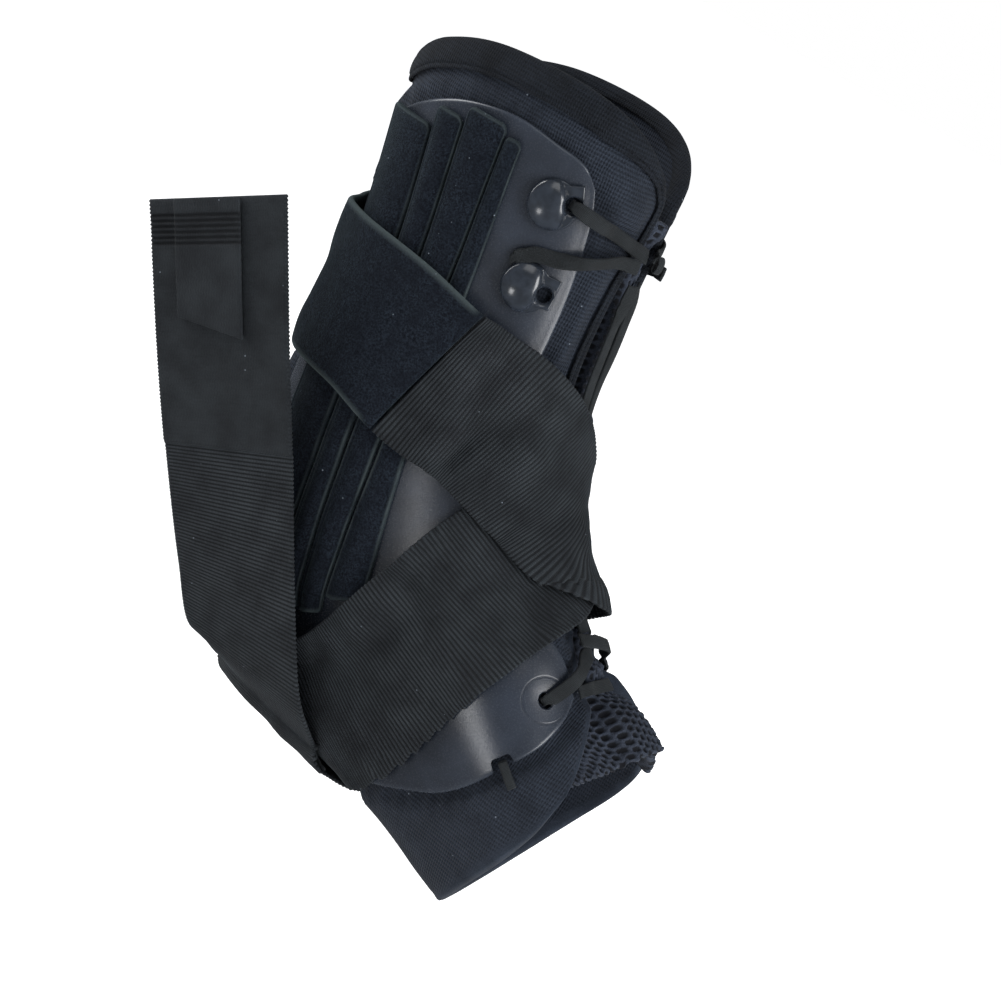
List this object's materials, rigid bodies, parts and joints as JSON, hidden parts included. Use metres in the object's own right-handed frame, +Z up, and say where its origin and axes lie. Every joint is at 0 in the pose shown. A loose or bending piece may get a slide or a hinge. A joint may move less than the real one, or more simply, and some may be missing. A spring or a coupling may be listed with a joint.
{
  "type": "ankle brace",
  "caption": "Laced ankle brace in its worn form: padded mesh sleeve open at collar and toe end, moulded side plates with velvet stays, and wide webbing straps round the instep.",
  "frame": {"origin": "ankle centre inside the sleeve, where the wearer's ankle holds the brace up", "axes": "+X ahead over the instep to the toe end, +Y to the medial side, +Z up the shaft"},
  "size_m": [0.2211, 0.1117, 0.2529],
  "materials": {
    "mesh_cloth": "matte padded air-mesh with small dimples",
    "plate_sheet": "semi-matte moulded sheet with a raised rim",
    "velvet": "short dense pile with paler worn edges",
    "webbing": "crosswise-ribbed woven webbing",
    "pile_end": "short velvet pile with fuzzy edges",
    "binding_tape": "smooth folded tape",
    "gloss_cap": "glossy dark",
    "lace_tape": "flat braided lace"
  },
  "bodies": {
    "root": {"sleeve": "mesh_cloth", "tongue": "mesh_cloth", "edge_binding": "binding_tape", "lateral_plate": "plate_sheet", "lateral_stay_1": "velvet", "lateral_stay_2": "velvet", "lateral_stay_3": "velvet", "lateral_stay_4": "velvet", "lateral_cap_1": "gloss_cap", "lateral_cap_2": "gloss_cap", "medial_plate": "plate_sheet", "medial_stay_1": "velvet", "medial_stay_2": "velvet", "medial_stay_3": "velvet", "medial_stay_4": "velvet", "medial_cap_1": "gloss_cap", "medial_cap_2": "gloss_cap", "lace_long_1": "lace_tape", "lace_long_2": "lace_tape", "lace_upper_lateral": "lace_tape", "lace_upper_medial": "lace_tape", "lace_second_lateral": "lace_tape", "lace_second_medial": "lace_tape", "lace_lower_bar": "lace_tape", "lace_lower_1": "lace_tape", "lace_lower_2": "lace_tape", "lace_knot": "lace_tape", "strap_1_webbing": "webbing", "strap_1_pile_end": "pile_end", "strap_2_webbing": "webbing", "strap_2_pile_end": "pile_end", "strap_2_end_patch": "pile_end"}
  },
  "joints": []
}
